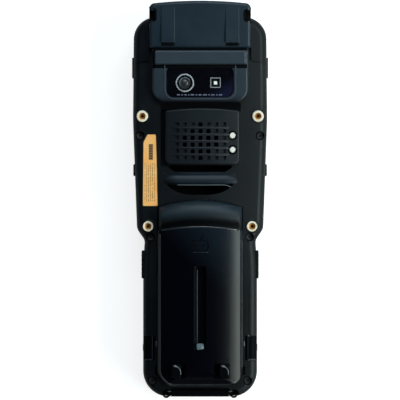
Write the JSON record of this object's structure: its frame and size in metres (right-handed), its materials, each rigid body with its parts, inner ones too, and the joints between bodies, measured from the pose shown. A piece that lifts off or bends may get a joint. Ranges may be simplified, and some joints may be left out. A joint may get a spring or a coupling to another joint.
{
  "type": "portable data terminal",
  "caption": "Handheld barcode data terminal with scanner nose, back camera, speaker, strap bar, removable battery pack, side keys and hinged port covers.",
  "frame": {"origin": "centre of the footprint, on the surface that the device lies on face down", "axes": "+Z out of the back, +Y towards the scanner end, +X to the right seen from the back"},
  "size_m": [0.068, 0.1988, 0.0337],
  "materials": {
    "housing": "fine textured moulded plastic",
    "cap": "fine textured moulded plastic, slightly lighter",
    "bumper": "soft matt rubber",
    "visor": "satin moulded plastic",
    "bezel": "satin moulded plastic",
    "window": "glossy dark window",
    "scan_glass": "dark red filter",
    "lens_ring": "turned, satin",
    "lens": "dark barrel with a glass eye",
    "flash_frame": "pale printed frame",
    "flash": "pale diffuser",
    "grille": "fine textured moulded plastic",
    "speaker": "paper cone and steel frame",
    "gold": "gold plated",
    "insert": "knurled brass",
    "screw": "black oxide steel",
    "label": "amber film with plain bars",
    "strap_bar": "satin moulded plastic",
    "lug": "dark steel",
    "pin": "ground steel",
    "socket": "tinned steel shell",
    "connector": "black moulded plastic",
    "glass": "cover glass with a black border",
    "module": "module frame",
    "board": "green solder mask",
    "cell": "shrink wrapped cell",
    "coin_cell": "steel can",
    "pack_cover": "satin gloss moulded plastic",
    "pack_tray": "moulded plastic",
    "latch": "satin moulded plastic",
    "rubber_key": "rubber key",
    "port_cover": "rubber cover",
    "front_key": "hard key cap",
    "scan_key": "amber key cap",
    "seal": "gasket rubber"
  },
  "bodies": {
    "root": {"front_housing": "housing", "rear_housing": "housing", "housing_seal": "seal", "top_bumper": "bumper", "top_cap": "cap", "scan_window": "scan_glass", "scan_engine": "module", "visor_bar": "visor", "camera_bezel": "bezel", "camera_window": "window", "lens_ring": "lens_ring", "camera_module": "lens", "flash_frame": "flash_frame", "flash_led": "flash", "speaker_grille": "grille", "speaker_driver": "speaker", "contact_pins": "gold", "threaded_inserts": "insert", "case_screws": "screw", "back_label": "label", "strap_bar": "strap_bar", "strap_lugs": "lug", "hinge_pins": "pin", "side_sockets": "socket", "cradle_connector": "connector", "bay_contacts": "gold", "display_window": "glass", "display_module": "module", "earpiece": "speaker", "main_board": "board", "backup_cell": "coin_cell", "keypad_board": "board"},
    "battery_pack": {"battery_cover": "pack_cover", "battery_tray": "pack_tray", "battery_cells": "cell", "battery_contacts": "gold"},
    "latch_right": {"battery_latch_right": "latch"},
    "latch_left": {"battery_latch_left": "latch"},
    "side_key_right": {"side_key_right": "rubber_key"},
    "side_key_left": {"side_key_left": "rubber_key"},
    "grip_key_right": {"grip_key_right": "rubber_key"},
    "grip_key_left": {"grip_key_left": "rubber_key"},
    "port_cover_right": {"port_cover_right": "port_cover"},
    "port_cover_left": {"port_cover_left": "port_cover"},
    "end_cover": {"end_cover": "port_cover"},
    "scan_key": {"scan_key": "scan_key"},
    "nav_key": {"nav_key": "front_key"},
    "key_01": {"key_01": "front_key"},
    "key_02": {"key_02": "front_key"},
    "key_03": {"key_03": "front_key"},
    "key_04": {"key_04": "front_key"},
    "key_05": {"key_05": "front_key"},
    "key_06": {"key_06": "front_key"},
    "key_07": {"key_07": "front_key"},
    "key_08": {"key_08": "front_key"},
    "key_09": {"key_09": "front_key"},
    "key_10": {"key_10": "front_key"},
    "key_11": {"key_11": "front_key"},
    "key_12": {"key_12": "front_key"}
  },
  "joints": [
    {"name": "battery_lift", "type": "slide", "parent": "root", "child": "battery_pack", "axis": [0, 0, 1], "range_m": [0, 0.04]},
    {"name": "latch_right_pinch", "type": "slide", "parent": "battery_pack", "child": "latch_right", "axis": [-1, 0, 0], "range_m": [0, 0.002], "stiffness_N_per_m": 400, "springref_m": -0.001},
    {"name": "latch_left_pinch", "type": "slide", "parent": "battery_pack", "child": "latch_left", "axis": [1, 0, 0], "range_m": [0, 0.002], "stiffness_N_per_m": 400, "springref_m": -0.001},
    {"name": "side_key_right_press", "type": "slide", "parent": "root", "child": "side_key_right", "axis": [-1, 0, 0], "range_m": [0, 0.0006], "stiffness_N_per_m": 350, "springref_m": -0.0006},
    {"name": "side_key_left_press", "type": "slide", "parent": "root", "child": "side_key_left", "axis": [1, 0, 0], "range_m": [0, 0.0006], "stiffness_N_per_m": 350, "springref_m": -0.0006},
    {"name": "grip_key_right_press", "type": "slide", "parent": "root", "child": "grip_key_right", "axis": [-1, 0, 0], "range_m": [0, 0.0006], "stiffness_N_per_m": 350, "springref_m": -0.0006},
    {"name": "grip_key_left_press", "type": "slide", "parent": "root", "child": "grip_key_left", "axis": [1, 0, 0], "range_m": [0, 0.0006], "stiffness_N_per_m": 350, "springref_m": -0.0006},
    {"name": "port_cover_right_hinge", "type": "hinge", "parent": "root", "child": "port_cover_right", "pos_m": [0.0241, -0.07415, 0.02265], "axis": [0, -1, 0], "range_deg": [0, 100]},
    {"name": "port_cover_left_hinge", "type": "hinge", "parent": "root", "child": "port_cover_left", "pos_m": [-0.0241, -0.07415, 0.02265], "axis": [0, 1, 0], "range_deg": [0, 100]},
    {"name": "end_cover_hinge", "type": "hinge", "parent": "root", "child": "end_cover", "pos_m": [0, -0.0956, 0.02265], "axis": [-1, 0, 0], "range_deg": [0, 95]},
    {"name": "scan_key_press", "type": "slide", "parent": "root", "child": "scan_key", "axis": [0, 0, 1], "range_m": [0, 0.0006], "stiffness_N_per_m": 350, "springref_m": -0.0006},
    {"name": "nav_key_press", "type": "slide", "parent": "root", "child": "nav_key", "axis": [0, 0, 1], "range_m": [0, 0.0006], "stiffness_N_per_m": 350, "springref_m": -0.0006},
    {"name": "key_01_press", "type": "slide", "parent": "root", "child": "key_01", "axis": [0, 0, 1], "range_m": [0, 0.0006], "stiffness_N_per_m": 350, "springref_m": -0.0006},
    {"name": "key_02_press", "type": "slide", "parent": "root", "child": "key_02", "axis": [0, 0, 1], "range_m": [0, 0.0006], "stiffness_N_per_m": 350, "springref_m": -0.0006},
    {"name": "key_03_press", "type": "slide", "parent": "root", "child": "key_03", "axis": [0, 0, 1], "range_m": [0, 0.0006], "stiffness_N_per_m": 350, "springref_m": -0.0006},
    {"name": "key_04_press", "type": "slide", "parent": "root", "child": "key_04", "axis": [0, 0, 1], "range_m": [0, 0.0006], "stiffness_N_per_m": 350, "springref_m": -0.0006},
    {"name": "key_05_press", "type": "slide", "parent": "root", "child": "key_05", "axis": [0, 0, 1], "range_m": [0, 0.0006], "stiffness_N_per_m": 350, "springref_m": -0.0006},
    {"name": "key_06_press", "type": "slide", "parent": "root", "child": "key_06", "axis": [0, 0, 1], "range_m": [0, 0.0006], "stiffness_N_per_m": 350, "springref_m": -0.0006},
    {"name": "key_07_press", "type": "slide", "parent": "root", "child": "key_07", "axis": [0, 0, 1], "range_m": [0, 0.0006], "stiffness_N_per_m": 350, "springref_m": -0.0006},
    {"name": "key_08_press", "type": "slide", "parent": "root", "child": "key_08", "axis": [0, 0, 1], "range_m": [0, 0.0006], "stiffness_N_per_m": 350, "springref_m": -0.0006},
    {"name": "key_09_press", "type": "slide", "parent": "root", "child": "key_09", "axis": [0, 0, 1], "range_m": [0, 0.0006], "stiffness_N_per_m": 350, "springref_m": -0.0006},
    {"name": "key_10_press", "type": "slide", "parent": "root", "child": "key_10", "axis": [0, 0, 1], "range_m": [0, 0.0006], "stiffness_N_per_m": 350, "springref_m": -0.0006},
    {"name": "key_11_press", "type": "slide", "parent": "root", "child": "key_11", "axis": [0, 0, 1], "range_m": [0, 0.0006], "stiffness_N_per_m": 350, "springref_m": -0.0006},
    {"name": "key_12_press", "type": "slide", "parent": "root", "child": "key_12", "axis": [0, 0, 1], "range_m": [0, 0.0006], "stiffness_N_per_m": 350, "springref_m": -0.0006}
  ]
}
